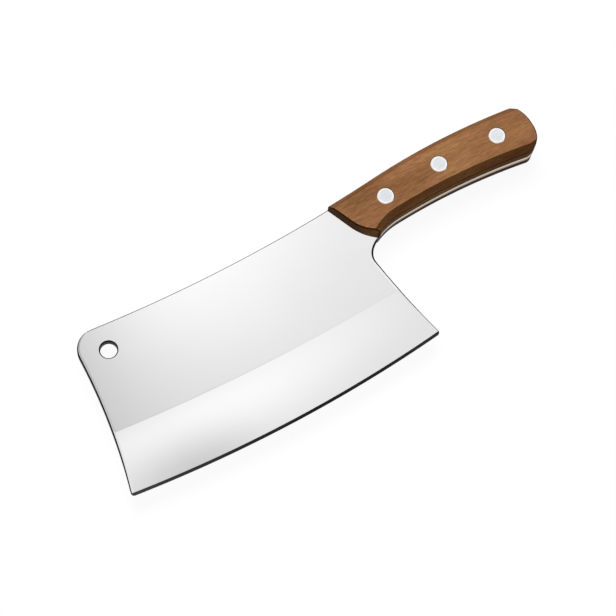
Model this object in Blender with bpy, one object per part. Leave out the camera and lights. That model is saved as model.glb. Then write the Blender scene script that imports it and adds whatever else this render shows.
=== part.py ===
"""Cleaver-shaped kitchen knife: a steel blade with a full tang, two wooden scales and three rivets.

The knife is drawn in its own plane. X runs from the tip to the butt, Y from the cutting edge to the
spine, and Z through the thickness, with the drawing's origin at the edge's tip corner and Z = 0 at the
middle of the steel. An empty then lays the knife on its side, centred over the origin.
"""
import math

import bmesh
import bpy
from mathutils import Matrix, Vector
from mathutils.geometry import interpolate_bezier

# Blade outline, in metres
EDGE_LENGTH = 0.1800          # straight line from the tip corner to the heel corner
EDGE_ROCKER = 0.0053          # how far the cutting edge bows below that line
EDGE_CORNER_RADIUS = 0.0018   # both ends of the cutting edge
BLADE_HEIGHT = 0.0875         # spine above that line at the tip end
TIP_LEAN = 0.0104             # how far the tip end leans back by the time it meets the spine
TIP_HOLLOW = 0.0030           # inward bow of the tip end
TIP_CORNER_RADIUS = 0.0104
SPINE_HOLLOW = 0.0046         # inward bow of the spine
HEEL_LEAN = 0.0115            # how far the heel leans towards the tip by the time it meets the handle
HEEL_HOLLOW = 0.0016          # inward bow of the heel
CHOIL_RADIUS_BELOW = 0.0131   # hollow corner between the heel and the handle's belly, on the heel's side
CHOIL_RADIUS_BEHIND = 0.0260  # the same on the belly's side

# Handle outline
HANDLE_REACH = 0.1001         # butt past the heel corner
NECK_PAST_HEEL = 0.0070       # where the hollow spine turns into the arched top of the handle
NECK_RISE = 0.0010            # that point above the spine's tip end
NECK_DEPTH = 0.0268           # top to belly at the neck
TOP_ARCH = 0.0024             # outward bow of the handle's top
BELLY_ARCH = 0.0043           # inward bow of the handle's belly
BUTT_RISE = 0.0009            # top corner of the butt above the neck
BUTT_DEPTH = 0.0285           # top to belly at the butt
BUTT_SETBACK = 0.0050         # top corner of the butt ahead of its rearmost point
BUTT_SHOULDER = 0.0141        # rearmost point of the butt below its top corner
BUTT_BOW = 0.0014             # outward bow between those two points
BUTT_TOP_RADIUS = 0.0007
BUTT_CORNER_RADIUS_ABOVE = 0.0112  # rounded corner between the butt and the belly, on the butt's side
BUTT_CORNER_RADIUS_AHEAD = 0.0085  # the same on the belly's side

# Steel section
PLATE_THICKNESS = 0.0050
GRIND_HEIGHT_TIP = 0.0338     # wide bevel's upper line above the edge's end points, at the tip end
GRIND_HEIGHT_HEEL = 0.0310    # the same at the heel
GRIND_SAG = 0.0038            # how far that line bows towards the edge
SHOULDER_THICKNESS = 0.0011   # steel left where the wide bevel meets the cutting bevel
CUTTING_BEVEL_WIDTH = 0.0016
EDGE_THICKNESS = 0.0001       # flat left along the cutting edge

# Hanging hole
HANG_HOLE_DIAMETER = 0.0094
HANG_HOLE_CHAMFER = 0.0003
HANG_HOLE_FROM_TIP_END = 0.0151   # centre behind the spine's tip end
HANG_HOLE_BELOW_SPINE = 0.0148

# Scales
HANDLE_THICKNESS = 0.0220     # over both scales
TOP_FACET_WIDTH = 0.0032      # facet along the top, measured across the face
BELLY_FACET_WIDTH = 0.0037    # facet along the belly, measured the same way
FACET_SLOPE = 1.094           # fall of both facets through the thickness, for each part of their width
FACET_NARROWING = 0.0010      # how much narrower the belly's facet is at the front end
FACET_TAPER = 0.0120          # length over which it narrows
BELLY_LEAN = 0.0003           # how far the belly of each scale leans in between the steel and its facet
FRONT_AHEAD_OF_NECK = 0.0263  # front end's upper corner towards the tip from the neck
FRONT_STRAIGHT_DROP = 0.0165  # height of the front end's straight upper part
FRONT_STRAIGHT_LEAN = 0.0069  # how far that part slants towards the butt
FRONT_SLANT = 0.0143          # front end's lower corner towards the butt from its upper one
FRONT_SETBACK = 0.0028        # how much further back the lower corner lies at the outer face

# Rivets
FIRST_RIVET_PAST_HEEL = 0.0101
RIVET_SPACING_FRONT = 0.0340  # first to second
RIVET_SPACING_REAR = 0.0356   # second to third
RIVET_BELOW_TOP = 0.0127      # centres below the handle's top line
RIVET_HEAD_DIAMETER = 0.0087
RIVET_HEAD_THICKNESS = 0.0024
BARREL_DIAMETER = 0.0060
BARREL_WALL = 0.0008
BARREL_MOUTH_SHORT = 0.0020   # barrel's mouth stops this far short of the stud's head
STUD_SHORT = 0.0010           # stud stops this far short of the barrel's blind end
STUD_POINT_CHAMFER = 0.0004

# Fits
FIT_GAP = 0.0003              # clearance between neighbouring pieces
PAST = 0.0040                 # how far stock and cutters run past what they shape
LEAST_SIDE = 0.0003           # what a rounded corner leaves of each of its sides at least
MERGE = 0.00001

# Fineness of the curves
SIDE_STEPS = 20
CORNER_STEPS = 8
GRIND_STEPS = 30
ROUND_STEPS = 36
SHARP_ANGLE = math.radians(30)


def clear_scene():
    """Remove whatever the scene holds."""
    for old in list(bpy.data.objects):
        bpy.data.objects.remove(old, do_unlink=True)


def plain_material(name, colour, roughness, metallic):
    """A Principled material with one colour."""
    made = bpy.data.materials.new(name)
    made.use_nodes = True
    shader = made.node_tree.nodes["Principled BSDF"]
    shader.inputs["Base Color"].default_value = (*colour, 1.0)
    shader.inputs["Roughness"].default_value = roughness
    shader.inputs["Metallic"].default_value = metallic
    made.diffuse_color = (*colour, 1.0)
    return made


def steel_material():
    return plain_material("satin_steel", (0.66, 0.67, 0.66), 0.33, 1.0)


def wood_material():
    return plain_material("brown_wood", (0.30, 0.135, 0.062), 0.55, 0.0)


def rivet_material():
    return plain_material("rivet_metal", (0.78, 0.79, 0.80), 0.28, 1.0)


def finish_mesh(name, bm):
    """Close a bmesh into a mesh whose faces point out and whose round faces are smooth."""
    bmesh.ops.remove_doubles(bm, verts=bm.verts, dist=MERGE)
    bmesh.ops.recalc_face_normals(bm, faces=bm.faces)
    mesh = bpy.data.meshes.new(name)
    bm.to_mesh(mesh)
    bm.free()
    mesh.shade_smooth()
    mesh.set_sharp_from_angle(angle=SHARP_ANGLE)
    return mesh


def place(name, mesh, parent, location=(0.0, 0.0, 0.0)):
    """Make a mesh an object under the parent."""
    made = bpy.data.objects.new(name, mesh)
    bpy.context.scene.collection.objects.link(made)
    made.parent = parent
    made.location = location
    return made


def add_piece(name, mesh, material, parent, location=(0.0, 0.0, 0.0)):
    """One sub-part, with its own material."""
    if not mesh.materials:
        mesh.materials.append(material)
    return place(name, mesh, parent, location)


def shape_with(piece, operation, name, bm):
    """Cut or trim a piece with a hidden guide solid."""
    guide = place(name, finish_mesh(name, bm), piece.parent)
    guide.display_type = 'WIRE'
    guide.hide_render = True
    boolean = piece.modifiers.new(name, 'BOOLEAN')
    boolean.operation = operation
    boolean.solver = 'EXACT'
    boolean.object = guide


def left_of(direction):
    """Unit vector to the left of a direction in the drawing plane."""
    return Vector((-direction.y, direction.x)).normalized()


def arc(start, end, bow, steps=SIDE_STEPS):
    """Points on the circle through start and end that bows out to the left of the way by bow."""
    start, end = Vector(start), Vector(end)
    chord = end - start
    half = chord.length / 2
    if abs(bow) < MERGE:
        return [start.lerp(end, i / steps) for i in range(steps + 1)]
    radius = (half * half + bow * bow) / (2 * bow)
    centre = (start + end) / 2 + left_of(chord) * (bow - radius)
    sweep = 2 * math.asin(half / abs(radius))
    if abs(bow) > half:
        sweep = 2 * math.pi - sweep
    turn = -math.copysign(sweep, bow) / steps
    return [centre + Matrix.Rotation(turn * i, 2) @ (start - centre) for i in range(steps + 1)]


def length_of(points):
    """Length along a line of points."""
    return sum((after - before).length for before, after in zip(points, points[1:]))


def trimmed(points, length):
    """A line of points without its first length."""
    for i in range(1, len(points)):
        step = (points[i] - points[i - 1]).length
        if length < step - MERGE:
            return [points[i - 1].lerp(points[i], max(length, 0.0) / step)] + points[i:]
        length -= step
    return points[-2:]


def extended(points, length):
    """A line of points run straight on past its last one."""
    onward = (points[-1] - points[-2]).normalized()
    return points + [points[-1] + onward * length]


def run_to_height(points, y):
    """A line of points run straight on to one height."""
    onward = points[-1] - points[-2]
    return points + [points[-1] + onward * (y - points[-1].y) / onward.y]


def curved_on(points, end):
    """A line of points carried on smoothly to end along a circle."""
    chord = end - points[-1]
    turn = (points[-1] - points[-2]).angle_signed(chord)
    return points + arc(points[-1], end, chord.length / 2 * math.tan(turn / 2), CORNER_STEPS)[1:]


def round_corner(before, after, radius_before, radius_after):
    """Trim two sides that meet and join them with a curve; returns both sides and the curve.

    The two radii differ where the curve starts wide and ends tight, and no radius uses up its side.
    """
    came = (before[-1] - before[-2]).normalized()
    goes = (after[1] - after[0]).normalized()
    angle = came.angle(goes)
    radius_before = min(radius_before, (length_of(before) - LEAST_SIDE) / math.tan(angle / 2))
    radius_after = min(radius_after, (length_of(after) - LEAST_SIDE) / math.tan(angle / 2))
    before = trimmed(before[::-1], radius_before * math.tan(angle / 2))[::-1]
    after = trimmed(after, radius_after * math.tan(angle / 2))
    came = (before[-1] - before[-2]).normalized()
    goes = (after[1] - after[0]).normalized()
    reach = math.tan(angle / 4) * 4 / 3
    curve = interpolate_bezier(before[-1], before[-1] + came * reach * radius_before,
                               after[0] - goes * reach * radius_after, after[0], CORNER_STEPS + 1)
    return before, after, [point.to_2d() for point in curve[1:-1]]


def named_points():
    """The outline's corners, from the driving dimensions."""
    neck = Vector((EDGE_LENGTH + NECK_PAST_HEEL, BLADE_HEIGHT + NECK_RISE))
    butt = EDGE_LENGTH + HANDLE_REACH
    butt_top = Vector((butt - BUTT_SETBACK, neck.y + BUTT_RISE))
    return {
        "tip": Vector((0.0, 0.0)),
        "spine": Vector((TIP_LEAN, BLADE_HEIGHT)),
        "neck": neck,
        "butt_top": butt_top,
        "butt_back": Vector((butt, butt_top.y - BUTT_SHOULDER)),
        "butt_belly": Vector((butt, butt_top.y - BUTT_DEPTH)),
        "choil": Vector((EDGE_LENGTH - HEEL_LEAN, neck.y - NECK_DEPTH)),
        "heel": Vector((EDGE_LENGTH, 0.0)),
    }


def named_sides():
    """The outline's sides before their corners are rounded, going tip, spine, butt, belly, heel."""
    at = named_points()
    return {
        "tip_end": arc(at["tip"], at["spine"], -TIP_HOLLOW),
        "spine": arc(at["spine"], at["neck"], -SPINE_HOLLOW),
        "handle_top": arc(at["neck"], at["butt_top"], TOP_ARCH),
        "butt_bow": arc(at["butt_top"], at["butt_back"], BUTT_BOW, CORNER_STEPS),
        "butt_back": [at["butt_back"], at["butt_belly"]],
        "belly": arc(at["butt_belly"], at["choil"], -BELLY_ARCH),
        "heel": arc(at["choil"], at["heel"], -HEEL_HOLLOW),
        "edge": arc(at["heel"], at["tip"], EDGE_ROCKER),
    }


def knife_outline():
    """The whole outline of the steel, which the scales share along the handle."""
    side = named_sides()
    rounded = (
        ("tip_end", "spine", TIP_CORNER_RADIUS, TIP_CORNER_RADIUS),
        ("handle_top", "butt_bow", BUTT_TOP_RADIUS, BUTT_TOP_RADIUS),
        ("butt_back", "belly", BUTT_CORNER_RADIUS_ABOVE, BUTT_CORNER_RADIUS_AHEAD),
        ("belly", "heel", CHOIL_RADIUS_BEHIND, CHOIL_RADIUS_BELOW),
        ("heel", "edge", EDGE_CORNER_RADIUS, EDGE_CORNER_RADIUS),
        ("edge", "tip_end", EDGE_CORNER_RADIUS, EDGE_CORNER_RADIUS),
    )
    corner_after = {}
    for before, after, *radii in rounded:
        side[before], side[after], corner_after[before] = round_corner(side[before], side[after], *radii)
    outline = []
    for name, points in side.items():
        outline += points[:-1]
        if name in corner_after:
            outline += [points[-1]] + corner_after[name]
    return outline


def height_on(points, x):
    """Height of a line of points at one x."""
    for a, b in zip(points, points[1:]):
        if min(a.x, b.x) <= x <= max(a.x, b.x):
            return a.y + (b.y - a.y) * (x - a.x) / (b.x - a.x)
    return points[-1].y if abs(points[-1].x - x) < abs(points[0].x - x) else points[0].y


def extruded(points, low, high):
    """A solid with one flat outline."""
    bm = bmesh.new()
    face = bm.faces.new([bm.verts.new((p.x, p.y, low)) for p in points])
    raised = bmesh.ops.extrude_face_region(bm, geom=[face])
    lifted = [item for item in raised["geom"] if isinstance(item, bmesh.types.BMVert)]
    bmesh.ops.translate(bm, verts=lifted, vec=(0.0, 0.0, high - low))
    return bm


def lofted(rings):
    """A solid skinned over rings of equally many points, with flat ends and no twisted faces."""
    bm = bmesh.new()
    loops = [[bm.verts.new(p) for p in ring] for ring in rings]
    count = len(loops[0])
    for first, second in zip(loops, loops[1:]):
        for i in range(count):
            j = (i + 1) % count
            bm.faces.new((first[i], first[j], second[j], second[i]))
    bm.faces.new(loops[0])
    bm.faces.new(loops[-1])
    bmesh.ops.triangulate(bm, faces=bm.faces)
    return bm


def turned(profile, centres=((0.0, 0.0),)):
    """A solid turned about Z from (radius, height) points, repeated at each centre."""
    bm = bmesh.new()
    for x, y in centres:
        line = [bm.verts.new((x + radius, y, height)) for radius, height in profile]
        edges = [bm.edges.new(pair) for pair in zip(line, line[1:])]
        bmesh.ops.spin(bm, geom=line + edges, cent=(x, y, 0.0), axis=(0.0, 0.0, 1.0),
                       angle=2 * math.pi, steps=ROUND_STEPS, use_merge=True)
    return bm


def ground_stock():
    """A long bar with the blade's section: flat above, then the wide bevel, then the cutting bevel."""
    at = named_points()
    edge = named_sides()["edge"]
    grind_line = arc((EDGE_LENGTH, GRIND_HEIGHT_HEEL), (0.0, GRIND_HEIGHT_TIP), GRIND_SAG)
    top = max(point.y for point in knife_outline()) + PAST
    slope = (SHOULDER_THICKNESS - EDGE_THICKNESS) / CUTTING_BEVEL_WIDTH
    run_out = EDGE_THICKNESS / slope
    stations = [at["heel"].x * i / GRIND_STEPS for i in range(GRIND_STEPS + 1)]
    stations = [-PAST] + stations + [at["butt_back"].x + PAST]
    rings = []
    for x in stations:
        low = height_on(edge, x)
        half_section = (
            (top, PLATE_THICKNESS / 2),
            (height_on(grind_line, x), PLATE_THICKNESS / 2),
            (low + CUTTING_BEVEL_WIDTH, SHOULDER_THICKNESS / 2),
        )
        near = [(x, y, z) for y, z in half_section]
        far = [(x, y, -z) for y, z in reversed(half_section)]
        rings.append(near + [(x, low - run_out, 0.0)] + far)
    return lofted(rings)


def rivet_centres():
    """Rivet axes, at one distance below the handle's top line."""
    side = named_sides()
    top = side["spine"] + side["handle_top"]
    first = EDGE_LENGTH + FIRST_RIVET_PAST_HEEL
    second = first + RIVET_SPACING_FRONT
    third = second + RIVET_SPACING_REAR
    return [(x, height_on(top, x) - RIVET_BELOW_TOP) for x in (first, second, third)]


def hang_hole_cutter():
    """Cutter for the hanging hole, wider at both faces for the chamfers."""
    at = named_points()
    centre = (at["spine"].x + HANG_HOLE_FROM_TIP_END, at["spine"].y - HANG_HOLE_BELOW_SPINE)
    bore = HANG_HOLE_DIAMETER / 2
    face = PLATE_THICKNESS / 2
    wide = bore + HANG_HOLE_CHAMFER + PAST
    waist = face - HANG_HOLE_CHAMFER
    flare = face + PAST
    return turned([(0.0, flare), (wide, flare), (bore, waist), (bore, -waist), (wide, -flare), (0.0, -flare)],
                  [centre])


def rivet_hole_cutter(low, high):
    """Straight holes for the rivets' barrels."""
    radius = BARREL_DIAMETER / 2 + FIT_GAP
    return turned([(0.0, high), (radius, high), (radius, low), (0.0, low)], rivet_centres())


def make_blade(parent):
    """Blade and full tang in one piece of steel."""
    half = PLATE_THICKNESS / 2 + PAST
    mesh = finish_mesh("blade", extruded(knife_outline(), -half, half))
    blade = add_piece("blade", mesh, steel_material(), parent)
    shape_with(blade, 'INTERSECT', "blade_section_guide", ground_stock())
    shape_with(blade, 'DIFFERENCE', "hang_hole_guide", hang_hole_cutter())
    shape_with(blade, 'DIFFERENCE', "tang_holes_guide", rivet_hole_cutter(-half, half))


def scale_front(setback):
    """Front end of the scales at one level: straight down from the spine, then curling to the choil."""
    at = named_points()
    upper = Vector((at["neck"].x - FRONT_AHEAD_OF_NECK, at["neck"].y))
    knee = upper + Vector((FRONT_STRAIGHT_LEAN, -FRONT_STRAIGHT_DROP))
    lower = Vector((upper.x + FRONT_SLANT + setback, at["choil"].y))
    roof = at["neck"].y + TOP_ARCH + BUTT_RISE + PAST
    ground = min(at["choil"].y, at["butt_belly"].y) - PAST
    rear = at["butt_back"].x + PAST
    above = run_to_height([knee, upper], roof)[-1]
    front = run_to_height(curved_on([above, knee], lower), ground)
    return front + [Vector((rear, ground)), Vector((rear, roof))]


def scale_region(side):
    """Block behind the scales' front end, whose lower corner leans back towards the outer face."""
    inner = side * PLATE_THICKNESS / 2
    outer = side * HANDLE_THICKNESS / 2
    slope = FRONT_SETBACK / (outer - inner)
    levels = (inner - side * PAST, outer + side * PAST)
    return lofted([[(p.x, p.y, z) for p in scale_front(slope * (z - inner))] for z in levels])


def facet_section(width, lean):
    """Section of a facet's cutter on the near side, as (distance outside the edge, height) points.

    The lean also trims the edge itself, which then slopes in from the steel's face to the facet.
    """
    face = HANDLE_THICKNESS / 2
    high = face + FACET_SLOPE * PAST
    top = [(-width - PAST, high), (PAST, high)]
    if not lean:
        return top + [(PAST, face - FACET_SLOPE * (width + PAST))]
    crease = face - FACET_SLOPE * (width - lean)
    steel = PLATE_THICKNESS / 2
    return top + [(lean * PAST / (crease - steel), steel - PAST), (-lean, crease)]


def facet_cutter(line, side, widths, lean=0.0):
    """Bar along one edge of a scale, which leaves a sloping facet of the width given for each point.

    The line is walked with the wood on its right.
    """
    rings = []
    for i, (point, width) in enumerate(zip(line, widths)):
        out = left_of(line[min(i + 1, len(line) - 1)] - line[max(i - 1, 0)])
        rings.append([(*(point + out * away), side * high) for away, high in facet_section(width, lean)])
    return lofted(rings)


def belly_facet_width(point):
    """Width of the belly's facet at one point, narrower at the front end."""
    corner = named_points()["neck"].x - FRONT_AHEAD_OF_NECK + FRONT_SLANT
    share = (corner + FACET_TAPER - point.x) / FACET_TAPER
    return BELLY_FACET_WIDTH - FACET_NARROWING * min(max(share, 0.0), 1.0)


def facet_lines():
    """Where the facets run: along the top, and along the belly into the choil, straight past the butt."""
    side = named_sides()
    belly, heel, choil_curve = round_corner(side["belly"], side["heel"], CHOIL_RADIUS_BEHIND,
                                            CHOIL_RADIUS_BELOW)
    ahead = FRONT_AHEAD_OF_NECK + PAST
    spine_end = trimmed(side["spine"], (side["spine"][-1] - side["spine"][0]).length - ahead)
    top = extended(spine_end + side["handle_top"][1:], PAST)
    bottom = belly + choil_curve + heel[:2]
    bottom = extended(bottom[::-1], PAST)[::-1]
    return top, bottom


def scale_hole_cutter(side):
    """Stepped holes: a counterbore for the rivet's head and a straight hole for its barrel."""
    face = side * HANDLE_THICKNESS / 2
    bore = BARREL_DIAMETER / 2 + FIT_GAP
    wide = RIVET_HEAD_DIAMETER / 2 + FIT_GAP
    seat = face - side * (RIVET_HEAD_THICKNESS + FIT_GAP)
    outer = face + side * PAST
    return turned([(0.0, outer), (wide, outer), (wide, seat), (bore, seat), (bore, 0.0), (0.0, 0.0)],
                  rivet_centres())


def make_scale(name, side, parent):
    """One wooden scale; side is 1 on the near face and -1 on the far one."""
    inner = side * (PLATE_THICKNESS / 2 + FIT_GAP)
    outer = side * HANDLE_THICKNESS / 2
    low, high = min(inner, outer), max(inner, outer)
    mesh = finish_mesh(name, extruded(knife_outline(), low, high))
    scale = add_piece(name, mesh, wood_material(), parent)
    shape_with(scale, 'INTERSECT', name + "_front_guide", scale_region(side))
    top, belly = facet_lines()
    top_cutter = facet_cutter(top, side, [TOP_FACET_WIDTH] * len(top))
    belly_cutter = facet_cutter(belly, side, [belly_facet_width(point) for point in belly], BELLY_LEAN)
    shape_with(scale, 'DIFFERENCE', name + "_top_facet_guide", top_cutter)
    shape_with(scale, 'DIFFERENCE', name + "_belly_facet_guide", belly_cutter)
    shape_with(scale, 'DIFFERENCE', name + "_holes_guide", scale_hole_cutter(side))


def stud_profile():
    """Headed stud: flush head on the near face and a solid shank that enters the barrel."""
    face = HANDLE_THICKNESS / 2
    head = RIVET_HEAD_DIAMETER / 2
    shank = BARREL_DIAMETER / 2 - BARREL_WALL - FIT_GAP
    under = face - RIVET_HEAD_THICKNESS
    end = -under + STUD_SHORT
    return [(0.0, face), (head, face), (head, under), (shank, under), (shank, end + STUD_POINT_CHAMFER),
            (shank - STUD_POINT_CHAMFER, end), (0.0, end)]


def socket_profile():
    """Headed socket: flush head on the far face and a hollow barrel open towards the stud."""
    face = -HANDLE_THICKNESS / 2
    head = RIVET_HEAD_DIAMETER / 2
    outside = BARREL_DIAMETER / 2
    bore = outside - BARREL_WALL
    under = face + RIVET_HEAD_THICKNESS
    mouth = -under - BARREL_MOUTH_SHORT
    return [(0.0, under), (bore, under), (bore, mouth), (outside, mouth), (outside, under), (head, under),
            (head, face), (0.0, face)]


def make_rivets(parent):
    """Three two-part rivets; equal halves share one mesh."""
    metal = rivet_material()
    stud = finish_mesh("rivet_stud", turned(stud_profile()))
    socket = finish_mesh("rivet_socket", turned(socket_profile()))
    for number, (x, y) in enumerate(rivet_centres(), start=1):
        add_piece(f"rivet_stud_{number}", stud, metal, parent, (x, y, 0.0))
        add_piece(f"rivet_socket_{number}", socket, metal, parent, (x, y, 0.0))


def make_knife():
    """The whole knife, lying on its far scale and centred over the origin."""
    clear_scene()
    outline = knife_outline()
    across = [point.x for point in outline]
    up = [point.y for point in outline]
    knife = bpy.data.objects.new("knife", None)
    bpy.context.scene.collection.objects.link(knife)
    knife.location = (-(min(across) + max(across)) / 2, -(min(up) + max(up)) / 2, HANDLE_THICKNESS / 2)
    make_blade(knife)
    make_scale("near_scale", 1, knife)
    make_scale("far_scale", -1, knife)
    make_rivets(knife)


make_knife()
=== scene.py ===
import math

import bmesh
import bpy
import numpy as np
from mathutils import Matrix, Vector


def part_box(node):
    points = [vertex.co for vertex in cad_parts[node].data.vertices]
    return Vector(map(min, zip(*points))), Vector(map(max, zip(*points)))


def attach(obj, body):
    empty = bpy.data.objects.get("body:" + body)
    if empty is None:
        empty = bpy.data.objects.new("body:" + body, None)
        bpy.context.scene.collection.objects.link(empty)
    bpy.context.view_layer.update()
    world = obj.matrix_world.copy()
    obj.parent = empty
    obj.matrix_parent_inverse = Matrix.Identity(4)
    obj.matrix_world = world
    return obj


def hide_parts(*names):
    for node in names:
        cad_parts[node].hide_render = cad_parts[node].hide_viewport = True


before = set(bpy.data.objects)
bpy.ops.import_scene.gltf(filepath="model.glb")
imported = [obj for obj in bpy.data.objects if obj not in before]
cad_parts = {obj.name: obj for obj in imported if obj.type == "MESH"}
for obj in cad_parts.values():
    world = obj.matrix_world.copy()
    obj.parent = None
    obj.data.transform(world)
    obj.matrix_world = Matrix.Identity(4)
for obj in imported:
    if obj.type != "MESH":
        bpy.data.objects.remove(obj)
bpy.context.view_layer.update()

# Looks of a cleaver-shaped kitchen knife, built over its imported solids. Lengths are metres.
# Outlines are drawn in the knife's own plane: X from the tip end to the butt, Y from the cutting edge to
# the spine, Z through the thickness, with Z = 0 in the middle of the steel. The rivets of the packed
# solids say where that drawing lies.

# Blade outline
EDGE_LENGTH = 0.1800
EDGE_ROCKER = 0.0053
EDGE_CORNER_RADIUS = 0.0018
BLADE_HEIGHT = 0.0875
TIP_LEAN = 0.0104
TIP_HOLLOW = 0.0030
TIP_CORNER_RADIUS = 0.0104
SPINE_HOLLOW = 0.0046
HEEL_LEAN = 0.0115
HEEL_HOLLOW = 0.0016
CHOIL_RADIUS_BELOW = 0.0131
CHOIL_RADIUS_BEHIND = 0.0260

# Handle outline
HANDLE_REACH = 0.1001
NECK_PAST_HEEL = 0.0070
NECK_RISE = 0.0010
NECK_DEPTH = 0.0268
TOP_ARCH = 0.0024
BELLY_ARCH = 0.0043
BUTT_RISE = 0.0009
BUTT_DEPTH = 0.0285
BUTT_SETBACK = 0.0050
BUTT_SHOULDER = 0.0141
BUTT_BOW = 0.0014
BUTT_TOP_RADIUS = 0.0007
BUTT_CORNER_RADIUS_ABOVE = 0.0112
BUTT_CORNER_RADIUS_AHEAD = 0.0085

# Steel section
PLATE_THICKNESS = 0.0050
GRIND_HEIGHT_TIP = 0.0338
GRIND_HEIGHT_HEEL = 0.0310
GRIND_SAG = 0.0038
GRIND_CROWN = 0.00012         # how far the wide bevel swells between its two lines
GRIND_EASING = 0.0006         # half the width over which the flat turns into the wide bevel
SHOULDER_THICKNESS = 0.0011
CUTTING_BEVEL_WIDTH = 0.0016
EDGE_THICKNESS = 0.0001

# Hanging hole
HANG_HOLE_RADIUS = 0.0047
HANG_HOLE_CHAMFER = 0.0003       # how far it widens at both faces and narrows in the middle
HANG_HOLE_FROM_TIP_END = 0.0151
HANG_HOLE_BELOW_SPINE = 0.0148

# Scales
HANDLE_THICKNESS = 0.0220
TOP_FACET_WIDTH = 0.0032
BELLY_FACET_WIDTH = 0.0037
FACET_SLOPE = 1.094
FACET_NARROWING = 0.0010
FACET_TAPER = 0.0120
BUTT_CURL_LENGTH = 0.0080     # the way before the butt over which the belly's crease curls up
BUTT_CURL_RISE = 0.0032
BELLY_LEAN = 0.0003
FRONT_AHEAD_OF_NECK = 0.0270
FRONT_STRAIGHT_DROP = 0.0165
FRONT_STRAIGHT_LEAN = 0.0072
FRONT_SLANT = 0.0150
FRONT_SETBACK = 0.0028
JOINT_GAP = 0.00012           # dark line between scale and steel

# Rivets
FIRST_RIVET_PAST_HEEL = 0.0101
RIVET_SPACING_FRONT = 0.0340
RIVET_SPACING_REAR = 0.0356
RIVET_BELOW_TOP = 0.0127
RIVET_HEAD_RADIUS = 0.00435
RIVET_HEAD_THICKNESS = 0.0024
RIVET_RIM = 0.00022           # chamfer round a rivet's head
RIVET_DISH = 0.00003          # how deep the head is dished in its middle
RIVET_SEAM = 0.00026          # gap between a rivet's head and the wood
BARREL_RADIUS = 0.0030
BARREL_WALL = 0.0008
BARREL_MOUTH_SHORT = 0.0020
STUD_SHORT = 0.0010           # how far the stud ends above its socket's floor
STUD_CHAMFER = 0.0004
FIT_GAP = 0.0003

# Softened edges
STEEL_EASING = 0.00042
END_EASING = 0.00070
CHOIL_EASING = 0.00160
WOOD_EASING = 0.00060
FACET_EASING = 0.00025
JOINT_EASING = 0.00012
EASING_BY_THICKNESS = 0.6        # the widest easing, as a share of half the steel's thickness
EASED_ANGLE = math.radians(28)
CRISP_ANGLE = math.radians(32)
FLAT_FACE_WEIGHT = 90            # how far a corner's shading follows the flat face beside it
SPINE_BAND = 0.012               # how far below the neck the rim still counts as the spine's
CHOIL_BAND = 0.012               # how far below the choil the wider easing starts
CHOIL_BLEND = 0.006              # the way up over which it widens
FRONT_BLEND = 0.002              # the way over which it runs out at the scales' front

# Lines run on past their ends, and cutters past the skin
RAIL_AHEAD = 0.01
RAIL_BEHIND = 0.02
FRONT_RUN_ON = 0.008
TOP_RUN_ON = 0.006
HEEL_RUN_ON = 0.004
BELLY_RUN_ON = 0.006
BELLY_CREASE_RUN_ON = 0.012
TOP_CREASE_RUN_ON = 0.004
CUTTER_OVERSHOOT = 0.002

# Fineness
SIDE_STEPS = 90
CORNER_STEPS = 24
ROUND_STEPS = 96
EASING_STEPS = 3
BLADE_COLUMNS = 100
BLADE_ROWS = (6, 14, 3, 3, 24)   # cutting bevel, wide bevel, both halves of its eased line, flat
TANG_COLUMNS = 70
TANG_ROWS = 28
POST_WAY = (0.003, 0.05)         # the way that the grid's line over the choil takes to the top
SCALE_COLUMNS = 90
FACET_ROWS = 5
FACE_ROWS = 26
TINY = 1e-7
SAME_PLACE = TINY * 10
NEARLY_PARALLEL = 1e-18
END_SLACK = 1e-9

# Tints of the steel, wood and rivets, and the painted shade of the tang's and scales' rims: linear colours,
# each at its share of the way where there are several
WHITE = (1.0, 1.0, 1.0)
# Painted shade on the tang's rim where it faces the belly: dark at the far face, warm and light near the near
# one
TANG_PAINTED_SHADE = (
    (0.08, (0.12, 0.11, 0.10)),
    (0.35, (0.55, 0.46, 0.39)),
    (0.60, (0.85, 0.72, 0.60)),
    (0.85, (1.0, 0.86, 0.72)),
)
# Painted shade on the scales' rims where they face the belly: darker towards the far face
RIM_PAINTED_SHADE = ((0.30, (0.14, 0.12, 0.11)), (0.62, WHITE))
WOOD_TONES = (
    (0.36, (0.150, 0.056, 0.016)),
    (0.46, (0.200, 0.080, 0.026)),
    (0.55, (0.240, 0.100, 0.036)),
    (0.66, (0.310, 0.140, 0.056)),
)
OLIVE_TINT = (0.95, 1.06, 0.80)
PORE_TINT = (0.50, 0.42, 0.36)
END_GRAIN_AND_SHADE_TINT = (0.30, 0.24, 0.20)
RIVET_TONES = (
    (0.0, (0.76, 0.80, 0.84)),
    (0.74, (0.83, 0.85, 0.87)),
    (0.84, (1.0, 0.99, 0.97)),
)
RIVET_STREAK_TINT = (0.95, 0.95, 0.95)

# Fineness of the noise along X, Y and Z, in about so many waves a metre
STREAKS_ALONG = (40.0, 5200.0, 5200.0)
STREAKS_ACROSS = (5200.0, 40.0, 40.0)
CUT_GRAIN = (900.0, 900.0, 900.0)
STEEL_CLOUDS = (22.0, 30.0, 30.0)
WOOD_BANDS = (24.0, 85.0, 85.0)
WOOD_FIBRES = (170.0, 1500.0, 1500.0)
WOOD_PORES = (330.0, 2600.0, 2600.0)
WOOD_PATCHES = (60.0, 160.0, 160.0)
RIVET_BRUSHING = (300.0, 2600.0, 2600.0)

# Finishes
NOISE_SPAN = (0.3, 0.7)              # the range that nearly all of a noise's values lie in
PAINTED_SHADE_LEAN = (-0.30, 0.0)          # a surface's lean along Y, from facing the belly's side to facing up, over which the painted shade fades out
USUAL_GLOSS = 0.5
STEEL_CLOUDINESS = 0.35
WOOD_ROUGHNESS_SWING = 0.07
WOOD_RELIEF = 0.00002
RIVET_ROUGHNESS = (0.18, 0.25)
RIVET_RELIEF = 0.000001

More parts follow.
